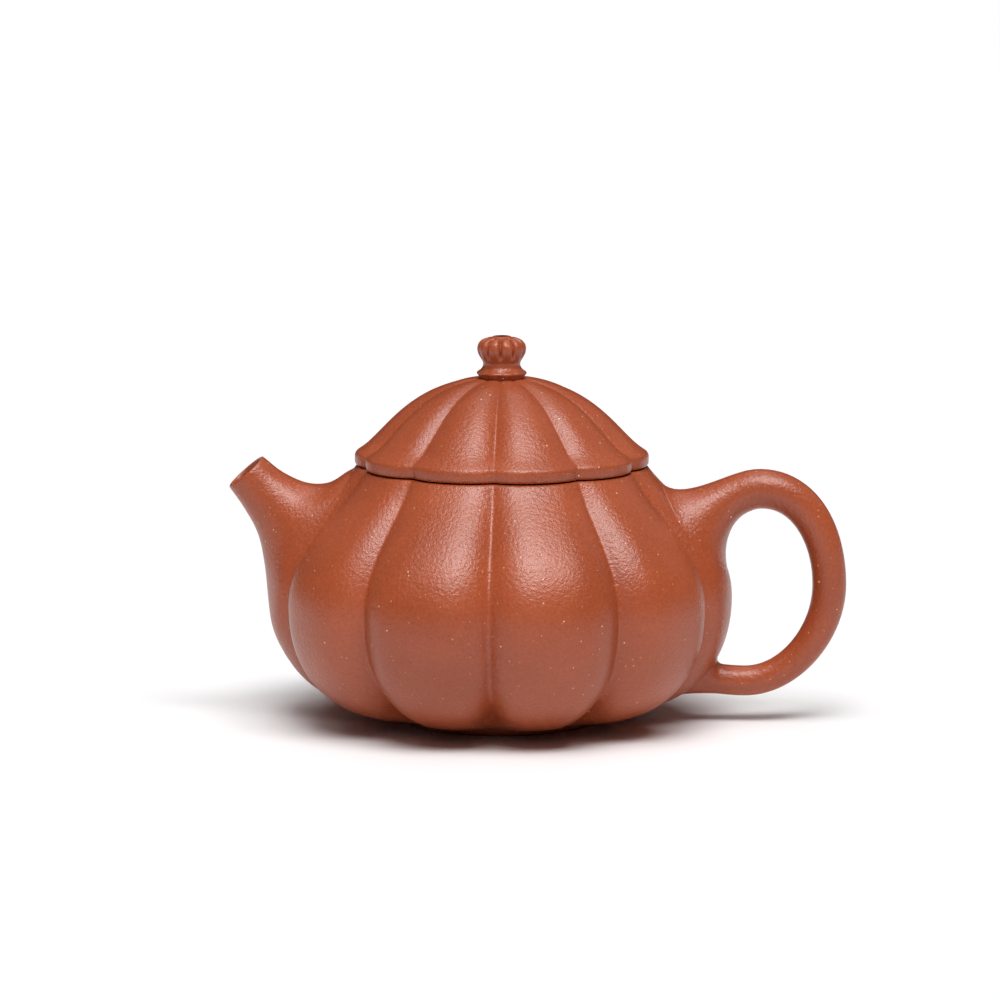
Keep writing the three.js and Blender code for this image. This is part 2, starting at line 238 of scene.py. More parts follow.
def named(tree, name, kind):
    return add(tree, "GeometryNodeInputNamedAttribute", {"Name": name}, data_type=kind).outputs[0]


def lobed_skin_tree():
    """Spins an outline about +Z and presses a soft V-shaped seam in between every two lobes."""
    sizes = {"Lobes": "Int", "Steps per lobe": "Int", "Crowding": "Float", "Seam softness": "Float"}
    tree, given = new_tree("lobed_skin", sizes)
    outline = given["Geometry"]
    rows = add(tree, "GeometryNodeAttributeDomainSize", {"Geometry": outline}).outputs["Point Count"]
    around = calc(tree, "MULTIPLY", given["Lobes"], given["Steps per lobe"])
    columns = calc(tree, "ADD", around, 1)
    grid = add(tree, "GeometryNodeMeshGrid", {"Vertices X": columns, "Vertices Y": rows}).outputs[0]

    index = tree.nodes.new("GeometryNodeInputIndex").outputs[0]
    column = calc(tree, "FLOOR", calc(tree, "DIVIDE", calc(tree, "ADD", index, 0.5), rows))
    row = calc(tree, "SUBTRACT", index, calc(tree, "MULTIPLY", column, rows))
    here = tree.nodes.new("GeometryNodeInputPosition").outputs[0]
    place = add(tree, "ShaderNodeSeparateXYZ", {0: sampled(tree, outline, here, row)}).outputs
    press = sampled(tree, outline, named(tree, "press", "FLOAT_VECTOR"), row)
    press = add(tree, "ShaderNodeSeparateXYZ", {0: press}).outputs
    crease = sampled(tree, outline, named(tree, "crease", "FLOAT"), row, "FLOAT")
    raw = sampled(tree, outline, named(tree, "raw", "FLOAT"), row, "FLOAT")

    # Columns crowd towards the seams, where the surface bends most.
    even = calc(tree, "DIVIDE", column, given["Steps per lobe"])
    wave = calc(tree, "SINE", calc(tree, "MULTIPLY", even, 2 * math.pi))
    shift = calc(tree, "DIVIDE", calc(tree, "MULTIPLY", wave, given["Crowding"]), 2 * math.pi)
    lobe = calc(tree, "SUBTRACT", even, shift)
    from_crest = calc(tree, "SUBTRACT", calc(tree, "MULTIPLY", calc(tree, "FRACT", lobe), 2), 1)
    from_seam = calc(tree, "SUBTRACT", 1, calc(tree, "ABSOLUTE", from_crest))
    soft = given["Seam softness"]
    squares = calc(tree, "ADD", calc(tree, "POWER", from_seam, 2), calc(tree, "POWER", soft, 2))
    eased = calc(tree, "SUBTRACT", calc(tree, "SQRT", squares), soft)
    groove = calc(tree, "POWER", calc(tree, "MAXIMUM", calc(tree, "SUBTRACT", 1, eased), 0), crease)

    turn = calc(tree, "MULTIPLY", calc(tree, "DIVIDE", lobe, given["Lobes"]), 2 * math.pi)
    turn = calc(tree, "ADD", turn, calc(tree, "DIVIDE", math.pi, given["Lobes"]))
    radius = calc(tree, "ADD", place["X"], calc(tree, "MULTIPLY", press["X"], groove))
    height = calc(tree, "ADD", place["Z"], calc(tree, "MULTIPLY", press["Z"], groove))
    spun = {
        "X": calc(tree, "MULTIPLY", radius, calc(tree, "COSINE", turn)),
        "Y": calc(tree, "MULTIPLY", radius, calc(tree, "SINE", turn)),
        "Z": height,
    }
    spun = add(tree, "ShaderNodeCombineXYZ", spun).outputs[0]
    marked = add(
        tree,
        "GeometryNodeStoreNamedAttribute",
        {"Geometry": grid, "Name": "raw", "Value": raw},
        data_type="FLOAT",
        domain="POINT",
    ).outputs[0]
    skin = add(tree, "GeometryNodeSetPosition", {"Geometry": marked, "Position": spun}).outputs[0]
    whole = add(tree, "GeometryNodeMergeByDistance", {"Geometry": skin, "Distance": 0.008 * MM})
    end_tree(tree, whole.outputs[0], given["Material"])
    return tree


def drilled_tree():
    """Drills round holes along +Z: one in the middle and a ring of others about it."""
    sizes = {"Holes in ring": "Int", "Ring radius": "Float", "Hole radius": "Float", "Depth": "Float"}
    tree, given = new_tree("drilled_cap", sizes)
    bit_sizes = {"Vertices": 24, "Radius": given["Hole radius"], "Depth": given["Depth"]}
    bit = add(tree, "GeometryNodeMeshCylinder", bit_sizes).outputs["Mesh"]
    ring_sizes = {"Vertices": given["Holes in ring"], "Radius": given["Ring radius"]}
    ring = add(tree, "GeometryNodeMeshCircle", ring_sizes).outputs[0]
    middle = add(tree, "GeometryNodePoints", {"Count": 1}).outputs[0]
    places = add(tree, "GeometryNodeJoinGeometry")
    tree.links.new(middle, places.inputs[0])
    dots = add(tree, "GeometryNodeMeshToPoints", {"Mesh": ring}).outputs[0]
    tree.links.new(dots, places.inputs[0])
    stamp = {"Points": places.outputs[0], "Instance": bit}
    bits = add(tree, "GeometryNodeInstanceOnPoints", stamp).outputs[0]
    bits = add(tree, "GeometryNodeRealizeInstances", {"Geometry": bits}).outputs[0]
    drilled = add(tree, "GeometryNodeMeshBoolean", {"Mesh 1": given["Geometry"]}, operation="DIFFERENCE")
    tree.links.new(bits, drilled.inputs["Mesh 2"])
    end_tree(tree, drilled.outputs["Mesh"], given["Material"])
    return tree


def bake_modifiers(piece):
    """Turns what a piece's modifiers make into its plain mesh."""
    bpy.context.view_layer.update()
    evaluated = piece.evaluated_get(bpy.context.evaluated_depsgraph_get())
    made = bpy.data.meshes.new_from_object(evaluated)
    piece.modifiers.clear()
    piece.data = made
    made.name = piece.name
    return piece


def run_tree(piece, tree, values):
    modifier = piece.modifiers.new(tree.name, "NODES")
    modifier.node_group = tree
    for item in tree.interface.items_tree:
        if item.in_out == "INPUT" and item.name in values:
            modifier[item.identifier] = values[item.name]
    return bake_modifiers(piece)


def new_piece(name, points, edges=(), faces=()):
    mesh = bpy.data.meshes.new(name)
    mesh.from_pydata(points, edges, faces)
    piece = bpy.data.objects.new(name, mesh)
    bpy.context.scene.collection.objects.link(piece)
    return piece


def mark(piece, label, values):
    """Gives each point of a piece its value of an attribute."""
    layer = piece.data.attributes.new(label, "FLOAT", "POINT")
    layer.data.foreach_set("value", values)


def spin(name, stations, material, steps=32, crowding=0.7, softness=SEAM_SOFTNESS):
    """A piece whose outline is spun into lobes. The outline runs up the outside."""
    edges = [(i, i + 1) for i in range(len(stations) - 1)]
    piece = new_piece(name, [s.point for s in stations], edges)
    press = piece.data.attributes.new("press", "FLOAT_VECTOR", "POINT")
    press.data.foreach_set("vector", [x for s in stations for x in s.press])
    mark(piece, "crease", [s.crease for s in stations])
    mark(piece, "raw", [s.raw for s in stations])
    values = {
        "Lobes": LOBES,
        "Steps per lobe": steps,
        "Crowding": crowding,
        "Seam softness": softness,
        "Material": material,
    }
    return run_tree(piece, lobed_skin, values)


# ---- Clay. ----


# Linear colours of the clay, of the grains in it, and of the painted shade in the spout's bore and the
# knob's vent.
LIGHT_CLAY = (0.385, 0.080, 0.029, 1)
DARK_CLAY = (0.32, 0.062, 0.021, 1)
RAW_CLAY = (0.43, 0.15, 0.075, 1)
ORANGE_GRAIN = (0.62, 0.24, 0.10, 1)
CREAM_GRAIN = (0.80, 0.56, 0.34, 1)
IRON_GRAIN = (0.05, 0.018, 0.012, 1)
# A near black used as painted shade inside the spout's bore and the knob's vent.
PAINTED_BORE_SHADE = (0.012, 0.006, 0.004, 1)
SATIN = 0.31
RIPPLE = 0.16 * MM


def clay(name, roughness, seed):
    """Fired unglazed clay with a satin skin; it is raw where "raw" is 1, and painted near black as shade
    where it is -1.
    """
    material = bpy.data.materials.new(name)
    material.use_nodes = True
    tree = material.node_tree
    shader = tree.nodes["Principled BSDF"]
    where = tree.nodes.new("ShaderNodeTexCoord").outputs["Object"]
    place = add(tree, "ShaderNodeMapping", {"Vector": where, "Location": seed}).outputs[0]

    # A noise of scale 1000 has features of about a millimetre.
    def noise(scale, detail=2.0, distortion=0.0):
        inputs = {"Vector": place, "Scale": scale, "Detail": detail, "Distortion": distortion}
        return add(tree, "ShaderNodeTexNoise", inputs).outputs["Fac"]

    def ranged(value, low, high, to_low=0.0, to_high=1.0):
        inputs = {"Value": value, 1: low, 2: high, 3: to_low, 4: to_high}
        return add(tree, "ShaderNodeMapRange", inputs).outputs[0]

    def blend(share, below, above, kind="MIX"):
        inputs = {0: share, 6: below, 7: above}
        return add(tree, "ShaderNodeMix", inputs, data_type="RGBA", blend_type=kind).outputs[2]

    def specks(scale, size, share):
        """Round grains of another clay, in a share of the cells of a loose grid."""
        cells = add(tree, "ShaderNodeTexVoronoi", {"Vector": place, "Scale": scale}).outputs
        chance = add(tree, "ShaderNodeSeparateColor", {0: cells["Color"]}).outputs
        reach = ranged(chance[1], 0, 1, 0.4 * size, size)
        grain = ranged(calc(tree, "DIVIDE", cells["Distance"], reach), 0.6, 1.0, 1.0, 0.0)
        return calc(tree, "MULTIPLY", grain, calc(tree, "LESS_THAN", chance[0], share))

    body = blend(ranged(noise(38, 3, 0.4), 0.32, 0.68), DARK_CLAY, LIGHT_CLAY)
    grain = noise(1500, 3)
    mottle = blend(ranged(grain, 0.35, 0.7), (0.36, 0.36, 0.36, 1), (0.62, 0.62, 0.62, 1))
    body = blend(0.35, body, mottle, "OVERLAY")
    body = blend(specks(620, 0.15, 0.6), body, ORANGE_GRAIN)
    body = blend(specks(430, 0.11, 0.42), body, CREAM_GRAIN)
    body = blend(specks(380, 0.08, 0.3), body, IRON_GRAIN)

    raw = add(tree, "ShaderNodeAttribute", attribute_name="raw").outputs["Fac"]
    body = blend(ranged(raw, 0, 1, 0, 0.35), body, RAW_CLAY)
    # Where "raw" is below 0 the colour goes near black: painted shade in the spout's bore and the knob's
    # vent.
    body = blend(ranged(raw, 0, -1, 0, 0.96), body, PAINTED_BORE_SHADE)
    tree.links.new(body, shader.inputs["Base Color"])

    worn = ranged(noise(120, 4), 0.3, 0.7, roughness - 0.01, roughness + 0.03)
    worn = calc(tree, "ADD", worn, ranged(grain, 0.3, 0.7, -0.02, 0.02))
    worn = calc(tree, "ADD", worn, ranged(raw, 0, 1, 0, 0.3))
    tree.links.new(worn, shader.inputs["Roughness"])

    wide = noise(1250, 2, 0.2)
    fine = calc(tree, "MULTIPLY", noise(2700, 2), 0.35)
    skin = calc(tree, "ADD", wide, fine)
    bump = {"Height": skin, "Distance": RIPPLE, "Strength": 1.0}
    bump = add(tree, "ShaderNodeBump", bump).outputs[0]
    tree.links.new(bump, shader.inputs["Normal"])
    shader.inputs["IOR"].default_value = 1.5
    return material


# ---- The pot. ----


def wall_outline():
    """The crests' line, from the foot up over the belly to the mouth."""
    foot = Vector((FOOT_RADIUS, 0, wall_low.z))
    belly = Vector((BELLY_RADIUS, 0, BELLY_HEIGHT))
    mouth = Vector((MOUTH_RADIUS, 0, MOUTH_HEIGHT))
    return Outline(
        (foot, foot + spot(14.4, 0), belly - spot(0, 19.0), belly),
        (belly, belly + spot(0, 14.0), mouth + spot(5.25, -7.43), mouth),
    )


def seam_depth(share):
    """Nothing at the foot, full up to half way, then shallower towards the mouth."""
    rise = max(0, 2 * share - 1) ** 1.5
    return smoothstep(share, 0, SEAM_FADE) * mix(SEAM_DEPTH, SEAM_DEPTH_MOUTH, rise)


def wall_station(share, inset=0.0, raw=0.0):
    inward = -wall.outward(share)
    level = smoothstep(share, SHOULDER_SHARE, 1)
    press = inward.lerp(Vector((-1, 0, 0)), level) * seam_depth(share)
    return Station(wall.point(share) + inward * inset, press, SEAM_CREASE, raw)


def lobe_point(angle, share, lift=0.0):
    """A point on the pot's lobed outside, lifted off it or sunk into it."""
    lobe = (angle * LOBES / (2 * math.pi) - 0.5) % 1
    from_seam = 1 - abs(2 * lobe - 1)
    eased = math.hypot(from_seam, SEAM_SOFTNESS) - SEAM_SOFTNESS
    base = wall_station(share)
    flat = base.point + base.press * max(1 - eased, 0) ** SEAM_CREASE + wall.outward(share) * lift
    return Matrix.Rotation(angle, 3, "Z") @ flat


wall = wall_outline()


def make_wall(material):
    """The beaten wall with its mouth: outside, flat seat for the lid, throat and raw inside."""
    steps = 96
    outside = [wall_station(MOUTH_EDGE_SHARE * i / steps) for i in range(steps + 1)]
    seat = Vector((MOUTH_RADIUS, 0, MOUTH_HEIGHT))
    throat = Vector((THROAT_RADIUS, 0, MOUTH_HEIGHT))
    edge = rounded([outside[-1].point, seat, seat.lerp(throat, 0.5)], 0.6 * MM)
    edge = plain(edge[1:-1], SEAM_DEPTH_MOUTH, crease=SEAM_CREASE)
    lip = rounded([seat.lerp(throat, 0.6), throat, throat - Vector((0, 0, THROAT_DEPTH))], 0.7 * MM)
    under = wall_station(SHOULDER_SHARE, WALL, 1.0)
    below = Vector((THROAT_RADIUS, 0, MOUTH_HEIGHT - THROAT_DEPTH))
    shoulder = plain(rounded([lip[-2], below, under.point], 0.8 * MM)[1:-1], raw=1.0)
    inside = [wall_station(SHOULDER_SHARE * (1 - i / 48), WALL, 1.0) for i in range(49)]
    made = spin("pot_wall", closed(outside + edge + plain(lip[:-1]) + shoulder + inside), material)
    cut_spout_hole(made)
    return made


def tube_between(name, start, end, radius, sides=48):
    """A plain rod, used only to cut with."""
    way = end - start
    turn = way.to_track_quat("Z", "Y").to_matrix()
    rings = [
        [at + turn @ Vector((math.cos(a), math.sin(a), 0)) * radius for a in angles(sides)]
        for at in (start, end)
    ]
    return loft(name, rings)


def angles(count):
    return [2 * math.pi * i / count for i in range(count)]


def loft(name, rings, ring_closed=False):
    """A closed solid through rings of points; its two ends are capped unless it closes on itself."""
    count, sides = len(rings), len(rings[0])
    faces = []
    for i in range(count if ring_closed else count - 1):
        low, high = i * sides, (i + 1) % count * sides
        for j in range(sides):
            k = (j + 1) % sides
            faces.append((low + j, low + k, high + k, high + j))
    if not ring_closed:
        faces.append(tuple(range(sides))[::-1])
        faces.append(tuple(range((count - 1) * sides, count * sides)))
    piece = new_piece(name, [p for ring in rings for p in ring], faces=faces)
    if signed_volume(piece.data) < 0:
        piece.data.flip_normals()
    for face in piece.data.polygons:
        face.use_smooth = True
    return piece


def signed_volume(mesh):
    total = 0.0
    mesh.calc_loop_triangles()
    for triangle in mesh.loop_triangles:
        a, b, c = (mesh.vertices[i].co for i in triangle.vertices)
        total += a.dot(b.cross(c))
    return total / 6


def cut_spout_hole(pot):
    reach = spout_axis * 3 * WALL
    drill = tube_between("drill", spout_seat - reach, spout_seat + reach, SPOUT_HOLE_RADIUS)
    modifier = pot.modifiers.new("hole", "BOOLEAN")
    modifier.operation = "DIFFERENCE"
    modifier.solver = "EXACT"
    modifier.object = drill
    bake_modifiers(pot)
    bpy.data.objects.remove(drill)


def make_foot(material):
    """The round base, set back under the lobes so that they seem to hover."""
    low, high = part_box("base_disc")
    rim, tread = high.x + JOINT_GAP, high.x - FOOT_SETBACK
    corners = [
        Vector((0, 0, 0)),
        Vector((tread - FOOT_CHAMFER, 0, 0)),
        Vector((tread, 0, 1.5 * FOOT_CHAMFER)),
        Vector((tread, 0, wall_low.z - 0.1 * MM)),
        Vector((rim, 0, wall_low.z)),
        Vector((rim, 0, high.z)),
        Vector((0, 0, high.z)),
    ]
    return spin("foot_disc", plain(rounded(corners, 0.5 * MM)), material, crowding=0)


# ---- Spout, strainer and handle. ----


def flow(points, start_way=None, end_way=None, steps=8):
    """A smooth line through points, with the way that it starts and ends where they are given."""
    ways = [(b - a) / 2 for a, b in zip(points, points[2:])]
    first = start_way or points[1] - points[0]
    last = end_way or points[-1] - points[-2]
    ways = [first, *ways, last]
    line = []
    for a, b, way_a, way_b in zip(points, points[1:], ways, ways[1:]):
        line += interpolate_bezier(a, a + way_a / 3, b - way_b / 3, b, steps + 1)[:-1]
    return line + [points[-1]]


def columns_to_rings(columns):
    return [list(ring) for ring in zip(*columns)]


def lobe_ring(angle, share, half_angle, half_share, lift, scale=1.0, squareness=1.0, sides=72):
    """A ring on the pot's outside, round a middle on one lobe; a squareness below 1 fills its corners."""

    def filled(value):
        return math.copysign(abs(value) ** squareness, value)

    return [
        lobe_point(
            angle + half_angle * scale * filled(math.sin(a)),
            share + half_share * scale * filled(math.cos(a)),
            lift,
        )
        for a in angles(sides)
    ]


def oval(top, bottom, half_width, tip=0.0, sides=72):
    """A ring across the upright plane; its far side (+Y) may be tipped towards the open end."""
    middle, reach = (top + bottom) / 2, (top - bottom) / 2
    up = Vector((-reach.z, 0, reach.x)).normalized() * math.sin(tip)
    side = (Vector((0, math.cos(tip), 0)) + up) * half_width
    return [middle + reach * math.cos(a) + side * math.sin(a) for a in angles(sides)]


def shrunk(ring, thickness):
    """An oval ring moved in towards its middle by a thickness."""
    middle = sum(ring, Vector()) / len(ring)
    return [p + (middle - p).normalized() * thickness for p in ring]


def middle_and_half(low_mm, high_mm):
    """A stretch of the wall's outline between two heights, as its middle and its half length."""
    low, high = wall.share_at(low_mm * MM), wall.share_at(high_mm * MM)
    return (low + high) / 2, (high - low) / 2


def spout_ring(low_mm, high_mm, half_degrees, lift_mm):
    """A ring on the spout's own lobe, between two heights."""
    middle, half = middle_and_half(low_mm, high_mm)
    spread = math.radians(half_degrees)
    return lobe_ring(math.pi, middle, -spread, half, lift_mm * MM, squareness=0.72)


def make_spout(material):
    """A short curved spout that grows out of its whole lobe, with an open bore and a thin lip."""
    outside = [
        spout_ring(11.0, 60.2, 17.7, -0.15),
        spout_ring(15.5, 59.4, 16.4, 0.12),
        spout_ring(23.0, 58.2, 14.4, 0.7),
        oval(spot(-41.0, 56.2), spot(-56.2, 36.0), 10.3 * MM),
        oval(spot(-46.2, 56.1), spot(-57.8, 43.8), 7.9 * MM),
        oval(spot(-51.9, 58.6), spot(-60.9, 49.8), 6.25 * MM),
        oval(spot(-56.35, 62.05), spot(-64.5, 54.95), 5.4 * MM, SPOUT_MOUTH_TIP),
    ]
    skin = columns_to_rings(flow(list(column), steps=8) for column in zip(*outside))
    aim = spot(-0.656, 0.755).normalized()
    lip_half = LIP_WIDTH / 2
    mouth_in = shrunk(outside[-1], LIP_WIDTH)
    lip = []
    for share in (0.25, 0.5, 0.75):
        turn = math.pi * share
        ring = []
        for out, inner in zip(outside[-1], mouth_in):
            centre, reach = (out + inner) / 2, (out - inner) / 2
            ring.append(centre + reach * math.cos(turn) + aim * lip_half * math.sin(turn))
        lip.append(ring)
    hole_middle = wall.share_at(spout_seat.z)
    hole_half = SPOUT_ROOT_HOLE_RADIUS / wall.length
    hole_spread = SPOUT_ROOT_HOLE_RADIUS / spout_seat.x
    hole = lobe_ring(math.pi, hole_middle, hole_spread, hole_half, -0.3 * MM)
    middle, root = shrunk(outside[-2], SPOUT_WALL_MIDDLE), shrunk(outside[-3], SPOUT_WALL_ROOT)
    bore = columns_to_rings(flow(list(column), steps=6) for column in zip(mouth_in, middle, root, hole))
    buried = [
        [a.lerp(b, t) - a.lerp(b, t).normalized() * 0.4 * MM for a, b in zip(hole, outside[0])]
        for t in (0.33, 0.66)
    ]
    spout = loft("spout_tube", skin + lip + bore + buried, ring_closed=True)
    # The bore is painted near black from just behind the lip, a painted shade for its dark inside.
    bore_shades = [0.0] * len(skin + lip) + [-0.9 * smoothstep(i, 0, 4) for i in range(len(bore + buried))]
    mark(spout, "raw", [bore_shade for bore_shade in bore_shades for _ in skin[0]])
    spout.data.materials.append(material)
    return spout


def make_strainer(material):
    """A pierced cap in the wall behind the spout, bulging into the pot."""
    def arc(reach, depth, count=12):
        ball = (reach**2 + depth**2) / (2 * depth)
        edge = math.asin(reach / ball)
        turns = [edge * i / count for i in range(count + 1)]
        return [Vector((ball * math.sin(t), 0, ball * (1 - math.cos(t)) - depth)) for t in turns]

    inside = STRAINER_RADIUS - STRAINER_WALL
    rim_corners = [
        Vector((STRAINER_RADIUS, 0, 0)),
        Vector((STRAINER_RADIUS, 0, STRAINER_RIM)),
        Vector((inside, 0, STRAINER_RIM)),
        Vector((inside, 0, 0)),
    ]
    outline = arc(STRAINER_RADIUS, STRAINER_RISE) + rounded(rim_corners, 0.4 * MM)[1:-1]
    outline += arc(inside, STRAINER_RISE - STRAINER_WALL)[::-1]
    cap = spin("spout_strainer", plain(outline, raw=0.6), material, steps=6, crowding=0)
    drills = {
        "Holes in ring": 6,
        "Ring radius": STRAINER_RING,
        "Hole radius": STRAINER_HOLE,
        "Depth": 20 * MM,
        "Material": material,
    }
    run_tree(cap, drilled_cap, drills)
    turn = spout_axis.to_track_quat("Z", "Y").to_matrix().to_4x4()
    cap.data.transform(Matrix.Translation(spout_seat - spout_axis * WALL) @ turn)
    return cap


# A knot of the handle's spine: where it is, which way it runs and how far it keeps to that way.
Knot = namedtuple("Knot", "place way before after")


def handle_outline():
    """The handle's spine, from inside the upper root round the loop to the tail."""
    knots = [
        Knot(spot(43.8, 45.6), spot(0.866, 0.5), 0, 8.1),
        Knot(spot(61.2, 55.6), spot(1, 0), 6.4, 10.4),
        Knot(spot(77.4, 32.8), spot(0, -1), 11.8, 11.7),
        Knot(spot(57.6, 9.75), spot(-1, 0), 10.4, 4.6),
        Knot(spot(42.0, 12.6), spot(-0.93, 0.37), 6.0, 0),
    ]
    return Outline(*(
        (a.place, a.place + a.way * a.after, b.place - b.way * b.before, b.place)
        for a, b in zip(knots, knots[1:])
    ))


def make_handle(material):
    """A round strap that tapers from its upper root to its tail and flows into its lobe."""
    spine = handle_outline()
    # Shares of the spine: the round section's start, its upper bend, back, lower bend and end.
    start, apex, back, low, end = 0.165, 0.235, 0.5, 0.8, 0.895

    def radius(share):
        upper = mix(HANDLE_TOP_RADIUS, HANDLE_BACK_RADIUS, smoothstep(share, apex - 0.1, back))
        return mix(upper, HANDLE_TAIL_RADIUS, smoothstep(share, back, low))

    def section(share):
        out = spine.outward(share) * -radius(share)
        return [
            spine.point(share) + out * math.cos(a) + Vector((0, radius(share), 0)) * math.sin(a)
            for a in angles(72)
        ]

    stations = [mix(start, end, i / 60) for i in range(61)]
    loop = [section(s) for s in stations]
    top = middle_and_half(35.5, 57.0)
    tail = middle_and_half(5.9, 16.4)

    def joined(first, second, middle, half, spread, pull, sign):
        """Rings from the lobe's skin to the loop's first ring."""
        root = lobe_ring(0, middle, spread, half * sign, -0.05 * MM)
        within = lobe_ring(0, middle, spread, half * sign, -0.05 * MM, 0.98)
        columns = []
        for r, b, p, q, a in zip(root, within, first, second, angles(len(root))):
            start = (b - r).normalized() * pull * mix(0.35, 1, math.cos(a) ** 2)
            columns.append(flow([r, p], start, (q - p).normalized() * pull, steps=14))
        deep = lobe_ring(0, middle, spread, half * sign, -1.4 * MM, 0.5)
        return [deep] + columns_to_rings(columns)[:-1]

    upper = joined(loop[0], loop[1], *top, math.radians(14.5), 18 * MM, 1)
    lower = joined(loop[-1], loop[-2], *tail, math.radians(6.3), 5 * MM, -1)
    handle = loft("handle_loop", upper + loop + lower[::-1])
    handle.data.materials.append(material)
    return handle


# ---- Lid and knob. ----


def make_lid(material):
    """The lid: a scalloped rim band, a dome with a flared foot, a vent and a raw underside."""
    band_top = LID_BOTTOM + BAND_HEIGHT
    rim = Vector((LID_RADIUS - 0.5 * MM, 0, band_top + 0.35 * MM))
    crown = Vector((DOME_TOP_RADIUS, 0, DOME_TOP))
    dome = Outline((rim, rim + spot(-6.4, 3.9), crown + spot(16.3, -2.7), crown))

    def depth(share):
        return mix(LID_SEAM_DEPTH, LID_SEAM_DEPTH_TOP, smoothstep(share, 0.3, 1))

    def dome_station(share, inset=0.0, part=1.0, raw=0.0):
        inward = -dome.outward(share)
        press = Vector((-1, 0, 0)).lerp(inward, smoothstep(share, 0, 0.2)) * depth(share) * part
        return Station(dome.point(share) + inward * inset, press, LID_CREASE, raw)

    corners = [
        Vector((LID_HOLLOW_RADIUS, 0, LID_BOTTOM)),
        Vector((LID_RADIUS - 0.1 * MM, 0, LID_BOTTOM)),
        Vector((LID_RADIUS + 0.1 * MM, 0, LID_BOTTOM + 0.5 * BAND_HEIGHT)),
        Vector((LID_RADIUS, 0, band_top)),
        dome.point(0.06),
    ]
    band = rounded(corners, 0.85 * MM)
    under = plain(band[:1], raw=1.0)
    edge = plain(band[1:-1], LID_SEAM_DEPTH, crease=LID_CREASE)
    outside = [dome_station(0.06 + 0.94 * i / 56) for i in range(57)]
    vent = rounded([
        crown,
        Vector((VENT_RADIUS, 0, DOME_TOP)),
        Vector((VENT_RADIUS, 0, DOME_TOP - LID_WALL)),
        Vector((DOME_TOP_RADIUS, 0, DOME_TOP - LID_WALL)),
    ], 0.3 * MM)[1:-1]
    inner = [dome_station(1 - i / 40, LID_WALL, 0.5, 1.0) for i in range(41)]
    inner = [s for s in inner if s.point.x < LID_HOLLOW_RADIUS]
    stations = under + edge + outside + plain(vent, raw=1.0) + inner
    return spin("lid_shell", closed(stations), material)


def make_flange(material):
    """The ring under the lid that drops into the throat."""
    low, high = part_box("lid_flange")
    inner = high.x - FLANGE_WALL
    top = LID_BOTTOM + 0.1 * MM
    corners = [
        Vector((inner, 0, (low.z + top) / 2)),
        Vector((inner, 0, low.z)),
        Vector((high.x, 0, low.z)),
        Vector((high.x, 0, top)),
        Vector((inner, 0, top)),
        Vector((inner, 0, (low.z + top) / 2)),
    ]
    return spin("lid_flange_ring", plain(rounded(corners, 0.6 * MM)), material, crowding=0)


def make_knob(material):
    """The knob: a flared collar, a neck and a ribbed bud with the vent through it."""
    base = DOME_TOP
    skin = Outline(
        (spot(5.2, 0), spot(5.35, 0.3), spot(5.45, 0.6), spot(5.55, 0.8)),
        (spot(5.55, 0.8), spot(6.0, 1.05), spot(6.02, 1.5), spot(5.5, 1.8)),
        (spot(5.5, 1.8), spot(4.8, 2.15), spot(4.38, 2.7), spot(4.38, 3.45)),
        (spot(4.38, 3.45), spot(4.38, 4.4), spot(5.75, 5.3), spot(5.75, 7.0)),
        (spot(5.75, 7.0), spot(5.75, 8.5), spot(4.6, 9.5), spot(3.0, 9.6)),
        (spot(3.0, 9.6), spot(2.5, 9.63), spot(2.4, 9.75), spot(2.1, 9.9)),
        (spot(2.1, 9.9), spot(1.9, 10.0), spot(1.75, 10.02), spot(1.5, 9.98)),
    )
    lift = Vector((0, 0, base))
    grooved, top = skin.share_at(4.3 * MM), skin.share_at(9.62 * MM)
    collar = skin.share_at(1.9 * MM)

    def depth(share):
        bud = smoothstep(share, grooved, grooved + 0.12)
        bud *= 1 - smoothstep(share, top - 0.06, top + 0.02)
        foot = 1 - smoothstep(share, collar - 0.05, collar + 0.08)
        return BUD_GROOVE * bud + COLLAR_GROOVE * foot

    stations = []
    for i in range(121):
        share = i / 120
        crease = COLLAR_CREASE if share < grooved else BUD_CREASE
        way = -skin.outward(share) * depth(share)
        stations.append(Station(skin.point(share) + lift, way, crease))
    # The vent's wall is marked -1 and painted near black, a painted shade for the hole's dark inside.
    vent = plain([spot(1.5, 9.93) + lift, spot(1.5, 5) + lift, spot(1.5, -0.2) + lift], raw=-1.0)
    bottom = plain([spot(5.0, -0.2) + lift])
    return spin("lid_knob", closed(stations + vent + bottom), material, steps=20, softness=0.07)


# ---- Putting the pieces on their bodies. ----


def fit(piece, body, slot, *nodes):
    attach(piece, body)
    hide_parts(*nodes)


def make_teapot():
    pot_clay = clay("burnished_pot_clay", SATIN, (0, 0, 0))
    lid_clay = clay("burnished_lid_clay", SATIN, (1, 2, 3))
    fit(make_wall(pot_clay), "pot", "body_clay", "body_wall", "mouth_ring")
    fit(make_foot(pot_clay), "pot", "body_clay", "base_disc")
    fit(make_spout(pot_clay), "pot", "spout_clay", "spout")
    fit(make_strainer(pot_clay), "pot", "spout_clay", "strainer")
    fit(make_handle(pot_clay), "pot", "handle_clay", "handle")
    fit(make_flange(lid_clay), "lid_lifter", "lid_clay", "lid_flange")
    fit(make_lid(lid_clay), "lid", "lid_clay", "lid_plate", "lid_dome")
    fit(make_knob(lid_clay), "lid", "knob_clay", "knob_collar", "knob_bud")


# ---- The studio. ----

ROOM_LIGHT = 0.012
LAMPS = (  # name, azimuth, elevation, width (degrees) and strength
    ("front_softbox", 0, 58, 24, 1.35),
    ("overhead_softbox", 0, 73, 26, 0.7),
    ("ceiling_softbox", 0, 90, 30, 0.45),
    ("right_softbox", 45, 60, 24, 1.15),
    ("left_softbox", -45, 60, 26, 0.35),
    ("low_front_softbox", -10, 30, 30, 0.1),
    ("back_softbox", 180, 60, 30, 0.25),
    ("left_fill", -130, 35, 40, 0.05),
    ("right_fill", 130, 35, 40, 0.12),
)


